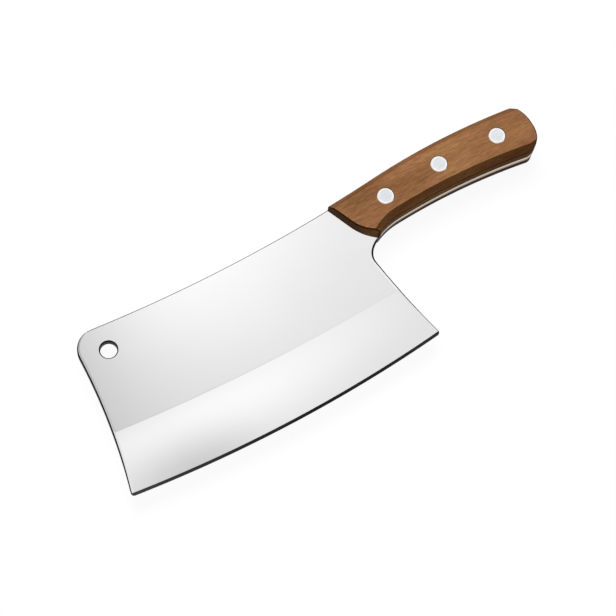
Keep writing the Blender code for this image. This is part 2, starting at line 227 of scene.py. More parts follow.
# Camera
CAMERA_AZIMUTH = math.radians(-40.2157)
CAMERA_ELEVATION = math.radians(70.6583)
CAMERA_ROLL = math.radians(11.1991)
CAMERA_DISTANCE = 1.03103
CAMERA_AIM = Vector((-0.013999, 0.001544, 0.011))
CAMERA_SIGHT = 50.0
SENSOR_WIDTH = 36.0
PHOTO_PIXELS = 616
FOCAL_PIXELS = 2000.0

# Floor and lamp
FLOOR_RADIUS = 6.0
FLOOR_CLEARANCE = 0.0002
FLOOR_COLOUR_FOR_CAMERA = (0.95, 0.95, 0.95)
FLOOR_COLOUR_FOR_LIGHT = (0.30, 0.30, 0.30)
FLOOR_WHITENESS = 0.93
LAMP_DIRECTION = Vector((0.10, 0.50, 0.86))
LAMP_DISTANCE = 1.6
LAMP_SIZE = 1.1
LAMP_POWER = 30.0

# Studio's surroundings, by the height of the direction
HORIZON_BLEND = (0.35, 0.55)         # what is mirrored: white below, the patterned ceiling above
AMBIENT_SPAN = (-0.1, 0.9)           # what lights the knife
AMBIENT_LEVELS = (0.03, 0.36)
CEILING_LEVEL = 0.87

# Soft patches of the ceiling: middle and half widths in the direction's X and Y, and brightness
CEILING_PATCHES = (
    (0.06, 0.33, 0.09, 0.21, 0.02),
    (0.12, 0.06, 0.06, 0.085, 0.58),
    (0.16, 0.31, 0.14, 0.07, 2.00),
    (0.15, 0.13, 0.15, 0.10, 1.35),
    (0.13, 0.20, 0.13, 0.06, 0.70),
    (0.33, 0.28, 0.08, 0.10, 1.70),
    (0.26, 0.25, 0.045, 0.10, 0.72),
    (0.21, -0.34, 0.44, 0.30, 0.01),
)


def unit(way):
    return way / np.hypot(*way)


def arc(start, end, bow):
    """Points on the circle through start and end that bows out to the left of the way by bow."""
    start, end = np.array(start), np.array(end)
    chord = end - start
    half = np.hypot(*chord) / 2
    left = unit(np.array((-chord[1], chord[0])))
    radius = (half * half + bow * bow) / (2 * bow)
    centre = (start + end) / 2 + left * (bow - radius)
    whole_turn = -math.copysign(2 * math.asin(half / abs(radius)), bow)
    turn = whole_turn * np.linspace(0, 1, SIDE_STEPS + 1)
    out = start - centre
    turned_out = np.column_stack((np.cos(turn) * out[0] - np.sin(turn) * out[1],
                                  np.sin(turn) * out[0] + np.cos(turn) * out[1]))
    return centre + turned_out


def reach(points):
    """Distance of each point along a line of points."""
    return np.concatenate(([0.0], np.cumsum(np.hypot(*np.diff(points, axis=0).T))))


def at_reach(points, wanted):
    """Points of a line at some distances along it."""
    along = reach(points)
    return np.column_stack([np.interp(wanted, along, points[:, axis]) for axis in (0, 1)])


def stretch(points, start, end):
    """The part of a line of points between two distances along it."""
    along = reach(points)
    inner = along[(along > start + TINY) & (along < end - TINY)]
    return at_reach(points, np.concatenate(([start], inner, [end])))


def spread(points, count):
    """A line of points resampled to equal steps."""
    return at_reach(points, np.linspace(0, reach(points)[-1], count + 1))


def joined(*lines):
    """Lines of points end to end."""
    return np.vstack([lines[0]] + [line[1:] for line in lines[1:]])


def run_on(points, length):
    """A line of points run straight on past its last one."""
    return np.vstack((points, points[-1] + unit(points[-1] - points[-2]) * length))


def meeting(first, second):
    """Distances along two lines of points to where the first one first crosses the second."""
    along_first, along_second = reach(first), reach(second)
    steps = np.diff(second, axis=0)
    for i in range(len(first) - 1):
        step = first[i + 1] - first[i]
        gap = second[:-1] - first[i]
        cross = step[0] * steps[:, 1] - step[1] * steps[:, 0]
        cross = np.where(np.abs(cross) < NEARLY_PARALLEL, NEARLY_PARALLEL, cross)
        on_first = (gap[:, 0] * steps[:, 1] - gap[:, 1] * steps[:, 0]) / cross
        on_second = (gap[:, 0] * step[1] - gap[:, 1] * step[0]) / cross
        within = [(share >= -END_SLACK) & (share <= 1 + END_SLACK) for share in (on_first, on_second)]
        hits = np.nonzero(within[0] & within[1])[0]
        if len(hits):
            j = hits[np.argmin(on_first[hits])]
            return (along_first[i] + on_first[j] * (along_first[i + 1] - along_first[i]),
                    along_second[j] + on_second[j] * (along_second[j + 1] - along_second[j]))
    raise ValueError("two lines of the drawing don't meet")


def round_corner(before, after, radius_before, radius_after):
    """Trim two sides that meet; returns both and the curve that joins them."""
    came, goes = unit(before[-1] - before[-2]), unit(after[1] - after[0])
    angle = math.acos(max(-1.0, min(1.0, float(came @ goes))))
    before = stretch(before, 0.0, reach(before)[-1] - radius_before * math.tan(angle / 2))
    after = stretch(after, radius_after * math.tan(angle / 2), reach(after)[-1])
    came, goes = unit(before[-1] - before[-2]), unit(after[1] - after[0])
    pull = math.tan(angle / 4) * 4 / 3
    t = np.linspace(0, 1, CORNER_STEPS + 1)[:, None]
    first, last = before[-1], after[0]
    curve = ((1 - t) ** 3 * first + 3 * (1 - t) ** 2 * t * (first + came * pull * radius_before)
             + 3 * (1 - t) * t ** 2 * (last - goes * pull * radius_after) + t ** 3 * last)
    return before, after, curve


TIP = np.array((0.0, 0.0))
HEEL = np.array((EDGE_LENGTH, 0.0))
SPINE_START = np.array((TIP_LEAN, BLADE_HEIGHT))
NECK = np.array((EDGE_LENGTH + NECK_PAST_HEEL, BLADE_HEIGHT + NECK_RISE))
BUTT_X = EDGE_LENGTH + HANDLE_REACH
BUTT_TOP = np.array((BUTT_X - BUTT_SETBACK, NECK[1] + BUTT_RISE))
BUTT_BACK = np.array((BUTT_X, BUTT_TOP[1] - BUTT_SHOULDER))
BUTT_BELLY = np.array((BUTT_X, BUTT_TOP[1] - BUTT_DEPTH))
CHOIL = np.array((EDGE_LENGTH - HEEL_LEAN, NECK[1] - NECK_DEPTH))
FRONT_TOP = NECK - (FRONT_AHEAD_OF_NECK, 0.0)
FRONT_CORNER_X = FRONT_TOP[0] + FRONT_SLANT


def drawn_sides():
    """The outline's sides, their rounded corners, and the edge and top lines before rounding."""
    side = {
        "tip_end": arc(TIP, SPINE_START, -TIP_HOLLOW),
        "spine": arc(SPINE_START, NECK, -SPINE_HOLLOW),
        "handle_top": arc(NECK, BUTT_TOP, TOP_ARCH),
        "butt_bow": arc(BUTT_TOP, BUTT_BACK, BUTT_BOW),
        "butt_back": np.array((BUTT_BACK, BUTT_BELLY)),
        "belly": arc(BUTT_BELLY, CHOIL, -BELLY_ARCH),
        "heel": arc(CHOIL, HEEL, -HEEL_HOLLOW),
        "edge": arc(HEEL, TIP, EDGE_ROCKER),
    }
    whole_edge = side["edge"][::-1]
    whole_top = joined(side["spine"], side["handle_top"])
    corner = {}
    for before, after, *radii in (
        ("tip_end", "spine", TIP_CORNER_RADIUS, TIP_CORNER_RADIUS),
        ("handle_top", "butt_bow", BUTT_TOP_RADIUS, BUTT_TOP_RADIUS),
        ("butt_back", "belly", BUTT_CORNER_RADIUS_ABOVE, BUTT_CORNER_RADIUS_AHEAD),
        ("belly", "heel", CHOIL_RADIUS_BEHIND, CHOIL_RADIUS_BELOW),
        ("heel", "edge", EDGE_CORNER_RADIUS, EDGE_CORNER_RADIUS),
        ("edge", "tip_end", EDGE_CORNER_RADIUS, EDGE_CORNER_RADIUS),
    ):
        side[before], side[after], corner[before] = round_corner(side[before], side[after], *radii)
    return side, corner, whole_edge, whole_top


SIDE, CORNER, WHOLE_EDGE, WHOLE_TOP = drawn_sides()
TIP_BOUNDARY = joined(CORNER["edge"], SIDE["tip_end"], CORNER["tip_end"])
TOP_BOUNDARY = joined(SIDE["spine"], SIDE["handle_top"])
BUTT_BOUNDARY = joined(CORNER["butt_back"][::-1], SIDE["butt_back"][::-1], SIDE["butt_bow"][::-1],
                       CORNER["handle_top"][::-1])
HEEL_BOUNDARY = joined(CORNER["heel"][::-1], SIDE["heel"][::-1])
CHOIL_CURVE = CORNER["belly"][::-1]
BELLY_BOUNDARY = SIDE["belly"][::-1]
GRIND_LINE = arc((EDGE_LENGTH, GRIND_HEIGHT_HEEL), (0.0, GRIND_HEIGHT_TIP), GRIND_SAG)[::-1]
RIVET_X = np.cumsum((EDGE_LENGTH + FIRST_RIVET_PAST_HEEL, RIVET_SPACING_FRONT, RIVET_SPACING_REAR))
RIVETS = [(x, np.interp(x, *WHOLE_TOP.T) - RIVET_BELOW_TOP) for x in RIVET_X]
HANG_HOLE = SPINE_START + (HANG_HOLE_FROM_TIP_END, -HANG_HOLE_BELOW_SPINE)


def drawing_origin():
    """Where the drawing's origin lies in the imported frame, read from the first rivet and the near face."""
    low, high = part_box("rivet_stud_1")
    middle = (low + high) / 2
    return Vector((middle.x - RIVETS[0][0], middle.y - RIVETS[0][1], high.z - HANDLE_THICKNESS / 2))


ORIGIN = drawing_origin()


def patch(bottom, top, left, right):
    """A grid of points filled in between four boundary lines."""
    across = np.linspace(0, 1, len(bottom))[None, :, None]
    up = np.linspace(0, 1, len(left))[:, None, None]
    between_rails = (1 - up) * bottom[None] + up * top[None]
    between_sides = (1 - across) * left[:, None] + across * right[:, None]
    corners = ((1 - across) * (1 - up) * bottom[0] + across * (1 - up) * bottom[-1]
               + (1 - across) * up * top[0] + across * up * top[-1])
    return between_rails + between_sides - corners


def shell(name, outer, inner, outer_height, inner_height, block_materials, wall_material):
    """A closed mesh between two skins of matching grids, walled round their boundary.

    outer and inner are lists of grids; the height functions give Z at points of the drawing.
    """
    index, plan, under, faces, materials = {}, [], [], [], []
    for block, below, material in zip(outer, inner, block_materials):
        rows, columns = block.shape[:2]
        number = np.empty((rows, columns), int)
        for r in range(rows):
            for c in range(columns):
                key = tuple(np.round(block[r, c] / SAME_PLACE).astype(int))
                if key not in index:
                    index[key] = len(plan)
                    plan.append(block[r, c])
                    under.append(below[r, c])
                number[r, c] = index[key]
        for r in range(rows - 1):
            for c in range(columns - 1):
                quad = (number[r, c], number[r, c + 1], number[r + 1, c + 1], number[r + 1, c])
                if len(set(quad)) == 4:
                    faces.append(quad)
                    materials.append(material)
    plan, under = np.array(plan), np.array(under)
    count = len(plan)
    sides = [pair for quad in faces for pair in zip(quad, quad[1:] + quad[:1])]
    known = set(sides)
    rim = [(a, b) for a, b in sides if (b, a) not in known]
    inner_faces = [tuple(v + count for v in reversed(quad)) for quad in faces]
    walls = [(b, a, a + count, b + count) for a, b in rim]
    wall_materials = [wall_material((plan[a] + plan[b]) / 2) for a, b in rim]
    skins = [np.column_stack((plan, outer_height(plan))), np.column_stack((under, inner_height(under)))]
    mesh = bpy.data.meshes.new(name)
    all_faces = [tuple(map(int, face)) for face in faces + inner_faces + walls]
    mesh.from_pydata(np.vstack(skins).tolist(), [], all_faces)
    mesh.polygons.foreach_set("material_index", materials + materials + wall_materials)
    bm = bmesh.new()
    bm.from_mesh(mesh)
    bmesh.ops.recalc_face_normals(bm, faces=bm.faces)
    bm.to_mesh(mesh)
    bm.free()
    return mesh


def put(name, mesh, materials, location=ORIGIN):
    """Make a mesh an object of the scene with its materials."""
    for material in materials:
        mesh.materials.append(material)
    made = bpy.data.objects.new(name, mesh)
    made.location = location
    bpy.context.scene.collection.objects.link(made)
    return made


def ease_edges(piece, width, weight_of, material_index=-1, clamped=True):
    """Round the sharp edges.

    weight_of gives each edge's share of the width from its middle point and its faces' materials.
    A material index of -1 leaves the rounded strips the materials beside them.
    """
    mesh = piece.data
    bm = bmesh.new()
    bm.from_mesh(mesh)
    layer = bm.edges.layers.float.new("bevel_weight_edge")
    for edge in bm.edges:
        if len(edge.link_faces) == 2 and edge.calc_face_angle() > EASED_ANGLE:
            beside = {face.material_index for face in edge.link_faces}
            edge[layer] = weight_of((edge.verts[0].co + edge.verts[1].co) / 2, beside)
    bm.to_mesh(mesh)
    bm.free()
    bevel = piece.modifiers.new("eased_edges", 'BEVEL')
    bevel.limit_method = 'WEIGHT'
    bevel.width = width
    bevel.segments = EASING_STEPS
    bevel.material = material_index
    bevel.use_clamp_overlap = clamped
    settle(piece)


def cut_away(piece, profile, centres, material_index):
    """Cut turned shapes out of a piece: profile is (radius, height) points, at each centre."""
    bm = bmesh.new()
    for x, y in centres:
        turn(bm, profile, (x, y))
    bmesh.ops.recalc_face_normals(bm, faces=bm.faces)
    for face in bm.faces:
        face.material_index = material_index
    cutter = bpy.data.objects.new("cutter", bpy.data.meshes.new("cutter"))
    bm.to_mesh(cutter.data)
    bm.free()
    cutter.location = piece.location
    bpy.context.scene.collection.objects.link(cutter)
    boolean = piece.modifiers.new("holes", 'BOOLEAN')
    boolean.operation = 'DIFFERENCE'
    boolean.object = cutter
    settle(piece)
    bpy.data.objects.remove(cutter, do_unlink=True)


def settle(piece):
    """Keep a piece's mesh as its modifiers leave it."""
    bpy.context.view_layer.update()
    evaluated = piece.evaluated_get(bpy.context.evaluated_depsgraph_get())
    piece.data = bpy.data.meshes.new_from_object(evaluated)
    piece.modifiers.clear()


def turn(bm, profile, centre=(0.0, 0.0)):
    """Add a solid turned about Z from (radius, height) points."""
    x, y = centre
    line = [bm.verts.new((x + radius, y, height)) for radius, height in profile]
    edges = [bm.edges.new(pair) for pair in zip(line, line[1:])]
    bmesh.ops.spin(bm, geom=line + edges, cent=(x, y, 0.0), axis=(0.0, 0.0, 1.0),
                   angle=2 * math.pi, steps=ROUND_STEPS, use_merge=True)
    bmesh.ops.remove_doubles(bm, verts=bm.verts, dist=SAME_PLACE)


def shade(piece, crisp):
    """Smooth shading whose flat faces stay flat; the border of the crisp material stays sharp too."""
    piece.data.shade_smooth()
    piece.data.set_sharp_from_angle(angle=CRISP_ANGLE)
    if crisp is not None:
        bm = bmesh.new()
        bm.from_mesh(piece.data)
        for edge in bm.edges:
            if len({face.material_index == crisp for face in edge.link_faces}) == 2:
                edge.smooth = False
        bm.to_mesh(piece.data)
        bm.free()
    weighted = piece.modifiers.new("flat_faces_lead", 'WEIGHTED_NORMAL')
    weighted.mode = 'FACE_AREA'
    weighted.weight = FLAT_FACE_WEIGHT
    weighted.keep_sharp = True


def show(piece, node, crisp=None):
    """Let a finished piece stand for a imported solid."""
    shade(piece, crisp)
    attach(piece, "root")
    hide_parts(node)


# Blade
# The cutting bevel and the cut rim are painted dark as a painted reflection, and the tang's rim carries
# painted shade
FLAT, GRIND, CUTTING_PAINTED_DARK, CUT_WALL_PAINTED_DARK, TANG_WALL_PAINTED_SHADE = range(5)


def edge_height(x):
    """Height of the cutting edge."""
    return np.interp(x, *WHOLE_EDGE.T)


def grind_height(x):
    """Height of the line where the flat turns into the wide bevel."""
    return np.interp(x, *GRIND_LINE.T)


def half_thickness(points):
    """Half the steel's thickness at points of the drawing."""
    x, y = points[:, 0], points[:, 1]
    full, shoulder = PLATE_THICKNESS / 2, SHOULDER_THICKNESS / 2
    shoulder_line = edge_height(x) + CUTTING_BEVEL_WIDTH
    width = grind_height(x) - shoulder_line
    share = np.clip((y - shoulder_line) / width, 0, None)
    crown = 4 * GRIND_CROWN * share * (1 - share)
    wide = shoulder + (full - shoulder) * share + np.where(share < 1, crown, 0)
    near_line = np.clip((y - grind_height(x)) / GRIND_EASING, -1, 1)
    slope = (full - shoulder) / width - 4 * GRIND_CROWN / width
    eased = full - slope * GRIND_EASING * (1 - near_line) ** 2 / 4
    wide = np.where(near_line <= -1, wide, np.where(near_line >= 1, full, eased))
    fine = (y - edge_height(x)) / CUTTING_BEVEL_WIDTH
    cutting = EDGE_THICKNESS / 2 + (shoulder - EDGE_THICKNESS / 2) * np.clip(fine, 0, 1)
    return np.where(fine < 1, cutting, np.minimum(wide, full))


def rail(height):
    """A line across the blade at a height that may change with x."""
    x = np.linspace(-RAIL_AHEAD, EDGE_LENGTH + RAIL_BEHIND, 4 * SIDE_STEPS)
    return np.column_stack((x, height(x)))


def blade_blocks():
    """Grids over the blade and tang, whose rows follow the edge, both bevels' lines and the spine."""
    split = reach(CHOIL_CURVE)[-1] / 2
    corner = at_reach(CHOIL_CURVE, [split])[0]
    right = joined(HEEL_BOUNDARY, stretch(CHOIL_CURVE, 0.0, split))
    rails = [
        rail(lambda x: edge_height(x) + CUTTING_BEVEL_WIDTH),
        rail(lambda x: grind_height(x) - GRIND_EASING),
        rail(grind_height),
        rail(lambda x: grind_height(x) + GRIND_EASING),
    ]
    cuts = []
    for line in rails:
        on_left, from_left = meeting(TIP_BOUNDARY, line)
        on_right, from_right = meeting(right, line)
        cuts.append((on_left, on_right, spread(stretch(line, from_left, from_right), BLADE_COLUMNS)))
    level = rail(lambda x: np.full_like(x, corner[1]))
    on_left, from_left = meeting(TIP_BOUNDARY, level)
    end = from_left + corner[0] - at_reach(level, [from_left])[0][0]
    cuts.append((on_left, reach(right)[-1], spread(stretch(level, from_left, end), BLADE_COLUMNS)))
    blocks = []
    below = (0.0, 0.0, spread(SIDE["edge"][::-1], BLADE_COLUMNS))
    for count, above in zip(BLADE_ROWS, cuts):
        left_part = spread(stretch(TIP_BOUNDARY, below[0], above[0]), count)
        right_part = spread(stretch(right, below[1], above[1]), count)
        blocks.append(patch(below[2], above[2], left_part, right_part))
        below = above
    over_corner = meeting(TOP_BOUNDARY, np.array((corner, corner + POST_WAY)))[0]
    post = spread(np.array((corner, at_reach(TOP_BOUNDARY, [over_corner])[0])), TANG_ROWS)
    left_part = spread(stretch(TIP_BOUNDARY, below[0], reach(TIP_BOUNDARY)[-1]), TANG_ROWS)
    spine = spread(stretch(TOP_BOUNDARY, 0.0, over_corner), BLADE_COLUMNS)
    blocks.append(patch(below[2], spine, left_part, post))
    belly = joined(stretch(CHOIL_CURVE, split, reach(CHOIL_CURVE)[-1]), BELLY_BOUNDARY)
    handle_top = stretch(TOP_BOUNDARY, over_corner, reach(TOP_BOUNDARY)[-1])
    blocks.append(patch(spread(belly, TANG_COLUMNS), spread(handle_top, TANG_COLUMNS), post,
                        spread(BUTT_BOUNDARY, TANG_ROWS)))
    return blocks, (CUTTING_PAINTED_DARK, GRIND, GRIND, FLAT, FLAT, FLAT, FLAT)


def blade_wall(point):
    """Which finish the steel's rim has: ground flush along the handle, left as cut elsewhere; the cut rim's
    near-black tone is a painted dark reflection.
    """
    on_top = point[1] > NECK[1] - NECK_DEPTH / 2
    start = FRONT_TOP[0] if on_top else CHOIL[0] + FRONT_SLANT / 2
    along_handle = point[0] > start and point[1] > CHOIL[1] - FIT_GAP
    return TANG_WALL_PAINTED_SHADE if along_handle else CUT_WALL_PAINTED_DARK


def make_blade(materials):
    """Blade and tang in one piece, with eased rims, the hanging hole and three rivet holes."""
    blocks, block_materials = blade_blocks()
    mesh = shell("blade", blocks, blocks, half_thickness, lambda p: -half_thickness(p), block_materials,
                 blade_wall)
    blade = put("blade_finished", mesh, materials)

    def share(middle, beside):
        """Thin along spine and tang, wider at both ends, widest round the choil, none at the cutting edge."""
        if middle.y < edge_height(middle.x) + CUTTING_BEVEL_WIDTH * 1.1:
            return 0.0
        if middle.x < EDGE_LENGTH / 2:
            at_end = np.clip((TIP_LEAN + TIP_CORNER_RADIUS - middle.x) / TIP_CORNER_RADIUS, 0.0, 1.0)
            width = STEEL_EASING + (END_EASING - STEEL_EASING) * at_end
        elif middle.y > NECK[1] - SPINE_BAND:
            width = STEEL_EASING
        else:
            rising = np.clip((middle.y - (CHOIL[1] - CHOIL_BAND)) / CHOIL_BLEND, 0.0, 1.0)
            ahead = FRONT_CORNER_X + FRONT_BLEND / 2 - middle.x
            running_out = np.clip(ahead / FRONT_BLEND, 0.0, 1.0)
            width = END_EASING + (CHOIL_EASING - END_EASING) * rising
            width = STEEL_EASING + (width - STEEL_EASING) * running_out
        thick = float(half_thickness(np.array([middle[:2]]))[0])
        return float(min(width, EASING_BY_THICKNESS * thick)) / CHOIL_EASING

    # The eased strips and the holes' walls take the cut rim's near-black tone: painted dark lines round the
    # outline, widest round the choil
    ease_edges(blade, CHOIL_EASING, share, CUT_WALL_PAINTED_DARK, clamped=False)
    bore = HANG_HOLE_RADIUS - HANG_HOLE_CHAMFER
    waist = PLATE_THICKNESS / 2 - 2 * HANG_HOLE_CHAMFER
    flare = PLATE_THICKNESS / 2 + CUTTER_OVERSHOOT
    wide = bore + 2 * HANG_HOLE_CHAMFER + CUTTER_OVERSHOOT
    upper_half = [(0.0, flare), (wide, flare), (bore, waist)]
    lower_half = [(radius, -height) for radius, height in reversed(upper_half)]
    cut_away(blade, upper_half + lower_half, [HANG_HOLE], CUT_WALL_PAINTED_DARK)
    around = BARREL_RADIUS + FIT_GAP
    cut_away(blade, [(0.0, flare), (around, flare), (around, -flare), (0.0, -flare)], RIVETS, CUT_WALL_PAINTED_DARK)
    show(blade, "blade", CUTTING_PAINTED_DARK)


# Scales
# The facets and edges take darker copies of the face's wood and the rims a tint through the thickness:
# painted shade
WOOD_FACE, WOOD_FACET_PAINTED_SHADE, WOOD_RIM_PAINTED_SHADE, WOOD_EDGE_PAINTED_DARK = range(4)


def scale_front(setback):
    """Front end of the scales at one level, bottom to top."""
    knee = FRONT_TOP + (FRONT_STRAIGHT_LEAN, -FRONT_STRAIGHT_DROP)
    lower = np.array((FRONT_CORNER_X + setback, CHOIL[1]))
    way, chord = knee - FRONT_TOP, lower - knee
    veer = math.atan2(way[1] * chord[0] - way[0] * chord[1], float(way @ chord))
    curl = arc(knee, lower, np.hypot(*chord) / 2 * math.tan(veer / 2))
    above = FRONT_TOP - unit(way) * TOP_RUN_ON
    return run_on(np.vstack((above, FRONT_TOP, curl)), FRONT_RUN_ON)[::-1]


def shifted(points, distance):
    """A line of points moved sideways, to the left of its way, by a distance that may vary."""
    way = np.gradient(points, axis=0)
    way /= np.hypot(*way.T)[:, None]
    return points + np.column_stack((-way[:, 1], way[:, 0])) * np.reshape(distance, (-1, 1))


def belly_facet_width(x):
    """Width of the belly's facet, narrower towards the front end."""
    narrowing = np.clip((FRONT_CORNER_X + FACET_TAPER - x) / FACET_TAPER, 0, 1)
    return BELLY_FACET_WIDTH - FACET_NARROWING * narrowing


def curled_up(crease):
    """The belly's crease, curling up where it runs round the butt's lower corner."""
    line = joined(crease[:-1], np.linspace(crease[-2], crease[-1], CORNER_STEPS + 1))
    share = np.clip((line[:, 0] - (BUTT_X - BUTT_CURL_LENGTH)) / BUTT_CURL_LENGTH, 0, None)
    return line + np.column_stack((np.zeros(len(line)), BUTT_CURL_RISE * share ** 2))


HEEL_END = reach(HEEL_BOUNDARY)[-1]
BELLY_LINE = joined(stretch(HEEL_BOUNDARY, HEEL_END - HEEL_RUN_ON, HEEL_END), CHOIL_CURVE, BELLY_BOUNDARY)
FACET_LINE = shifted(BELLY_LINE, belly_facet_width(BELLY_LINE[:, 0]))
BELLY_CREASE = curled_up(run_on(FACET_LINE, BELLY_CREASE_RUN_ON))
TOP_CREASE = run_on(shifted(WHOLE_TOP, -TOP_FACET_WIDTH), TOP_CREASE_RUN_ON)


def distance_to(line, points):
    """Distance of each point from a line of points."""
    starts, steps = line[:-1], np.diff(line, axis=0)
    gap = points[:, None] - starts[None]
    share = np.clip((gap * steps).sum(axis=2) / (steps * steps).sum(axis=1), 0, 1)
    return np.sqrt((((gap - share[..., None] * steps) ** 2).sum(axis=2)).min(axis=1))


def scale_blocks(face_setback, belly_setback, lean):
    """Grids over a scale: belly facet, face and top facet, behind the front end at one level.

    The lean is how far the belly's edge has come in from the steel's, or 0 where they lie together.
    """
    front, low_front = scale_front(face_setback), scale_front(belly_setback)
    butt_end = reach(BUTT_BOUNDARY)[-1]
    belly_line, belly_end, butt_start = BELLY_LINE, reach(BELLY_LINE)[-1], 0.0
    if lean:
        belly_line = run_on(shifted(BELLY_LINE, lean), BELLY_RUN_ON)
        belly_end, butt_start = meeting(belly_line, BUTT_BOUNDARY)
    belly = stretch(belly_line, meeting(belly_line, low_front)[0], belly_end)
    crease_start, front_low = meeting(BELLY_CREASE, front)
    crease_end, butt_low = meeting(BELLY_CREASE, BUTT_BOUNDARY)
    top_start, front_high = meeting(TOP_CREASE, front)
    top_end, butt_high = meeting(TOP_CREASE, BUTT_BOUNDARY)
    start_high = meeting(TOP_BOUNDARY, front)[0]
    lines = [
        belly,
        stretch(BELLY_CREASE, crease_start, crease_end),
        stretch(TOP_CREASE, top_start, top_end),
        stretch(TOP_BOUNDARY, start_high, reach(TOP_BOUNDARY)[-1]),
    ]
    rails = [spread(line, SCALE_COLUMNS) for line in lines]
    butt = (butt_start, butt_low, butt_high, butt_end)
    fronts = [
        spread(np.array((rails[0][0], rails[1][0])), FACET_ROWS),
        spread(stretch(front, front_low, front_high), FACE_ROWS),
        spread(np.array((rails[2][0], rails[3][0])), FACET_ROWS),
    ]
    return [patch(rails[k], rails[k + 1], fronts[k],
                  spread(stretch(BUTT_BOUNDARY, butt[k], butt[k + 1]), len(fronts[k]) - 1))
            for k in range(3)]


def scale_height(points):
    """Height of a scale's outer skin above the middle of the steel."""
    x, y = points[:, 0], points[:, 1]
    belly, top = np.interp(x, *BELLY_CREASE.T), np.interp(x, *TOP_CREASE.T)
    past_belly = np.where(y > belly, 0, distance_to(BELLY_CREASE, points))
    past_top = np.where(y < top, 0, distance_to(TOP_CREASE, points))
    past = np.where(y < (belly + top) / 2, past_belly, past_top)
    return HANDLE_THICKNESS / 2 - FACET_SLOPE * past


def make_scale(node, side, materials):
    """One wooden scale; side is 1 on the near face and -1 on the far one."""
    inner = PLATE_THICKNESS / 2 + JOINT_GAP
    depth = HANDLE_THICKNESS / 2 - inner
    narrow = float(belly_facet_width(CHOIL[0]))
    land = 1 - FACET_SLOPE * (narrow - BELLY_LEAN) / depth
    outer_blocks = scale_blocks(FRONT_SETBACK, FRONT_SETBACK * land, BELLY_LEAN)
    inner_blocks = scale_blocks(0.0, 0.0, 0.0)
    mesh = shell(node, outer_blocks, inner_blocks, lambda p: side * scale_height(p),
                 lambda p: np.full(len(p), side * inner), (WOOD_FACET_PAINTED_SHADE, WOOD_FACE, WOOD_FACET_PAINTED_SHADE),
                 lambda p: WOOD_RIM_PAINTED_SHADE)
    scale = put(f"{node}_finished", mesh, materials)

    def crease_share(middle, beside):
        return 1.0 if beside <= {WOOD_FACE, WOOD_FACET_PAINTED_SHADE} else 0.0

    def rim_share(middle, beside):
        if WOOD_RIM_PAINTED_SHADE not in beside:
            return 0.0
        if abs(middle.z) < inner + SAME_PLACE:
            return JOINT_EASING / WOOD_EASING
        return FACET_EASING / WOOD_EASING if WOOD_FACET_PAINTED_SHADE in beside else 1.0

    # The rounded rim strips take the dark edge wood: painted dark lines along the scale's edges
    ease_edges(scale, WOOD_EASING, rim_share, WOOD_EDGE_PAINTED_DARK, clamped=False)
    ease_edges(scale, WOOD_EASING, crease_share)
    scale.visible_glossy = False
    above = HANDLE_THICKNESS / 2 + CUTTER_OVERSHOOT
    seat = HANDLE_THICKNESS / 2 - RIVET_HEAD_THICKNESS - FIT_GAP
    wide, bore = RIVET_HEAD_RADIUS + RIVET_SEAM, BARREL_RADIUS + FIT_GAP
    profile = [(0.0, above), (wide, above), (wide, seat), (bore, seat), (bore, 0.0), (0.0, 0.0)]
    # The walls round each rivet's seat take the dark edge wood: painted shade in the seam
    cut_away(scale, [(radius, side * height) for radius, height in profile], RIVETS, WOOD_EDGE_PAINTED_DARK)
    show(scale, node)


# Rivets
def rivet_profiles():
    """Stud and socket as (radius, height) points, with eased rims and a faintly dished head."""
    face, head, rim = HANDLE_THICKNESS / 2, RIVET_HEAD_RADIUS, RIVET_RIM
    under = face - RIVET_HEAD_THICKNESS
    dish = [(head * out, face - RIVET_DISH * deep) for out, deep in ((0.0, 1.0), (0.5, 0.8), (0.8, 0.3))]
    top = dish + [(head - rim * 1.6, face), (head - rim, face), (head - rim * 0.3, face - rim * 0.3),
                  (head, face - rim)]
    shank = BARREL_RADIUS - BARREL_WALL - FIT_GAP
    end = -under + STUD_SHORT
    stud = top + [(head, under), (shank, under), (shank, end + STUD_CHAMFER), (shank - STUD_CHAMFER, end),
                  (0.0, end)]
    bore, mouth = BARREL_RADIUS - BARREL_WALL, under - BARREL_MOUTH_SHORT
    cap = [(radius, -height) for radius, height in reversed(top)]
    socket = [(0.0, -under), (bore, -under), (bore, mouth), (BARREL_RADIUS, mouth), (BARREL_RADIUS, -under),
              (head, -under)] + cap
    return stud, socket


def make_rivets(materials):
    """All six halves, each with its own node."""
    for kind, profile in zip(("rivet_stud", "rivet_socket"), rivet_profiles()):
        for place, (x, y) in enumerate(RIVETS, start=1):
            bm = bmesh.new()
            turn(bm, profile)
            bmesh.ops.recalc_face_normals(bm, faces=bm.faces)
            mesh = bpy.data.meshes.new(kind)
            bm.to_mesh(mesh)
            bm.free()
            piece = put(f"{kind}_{place}_finished", mesh, materials, ORIGIN + Vector((x, y, 0.0)))
            show(piece, f"{kind}_{place}")


# Materials
def new_material(name):
    """A material, its node tree and its Principled shader."""
    material = bpy.data.materials.new(name)
    material.use_nodes = True
    tree = material.node_tree
    return material, tree, tree.nodes["Principled BSDF"]


def feed(tree, socket, value):
    """Link an output to a socket, or set its number, vector or colour."""
    if isinstance(value, bpy.types.NodeSocket):
        tree.links.new(value, socket)
    elif isinstance(value, tuple) and socket.type == 'RGBA':
        socket.default_value = (*value, 1.0)
    else:
        socket.default_value = value


def maths(tree, operation, *values):
    """A number worked out from numbers or outputs."""
    made = tree.nodes.new("ShaderNodeMath")
    made.operation = operation
    for socket, value in zip(made.inputs, values):
        feed(tree, socket, value)
    return made.outputs[0]


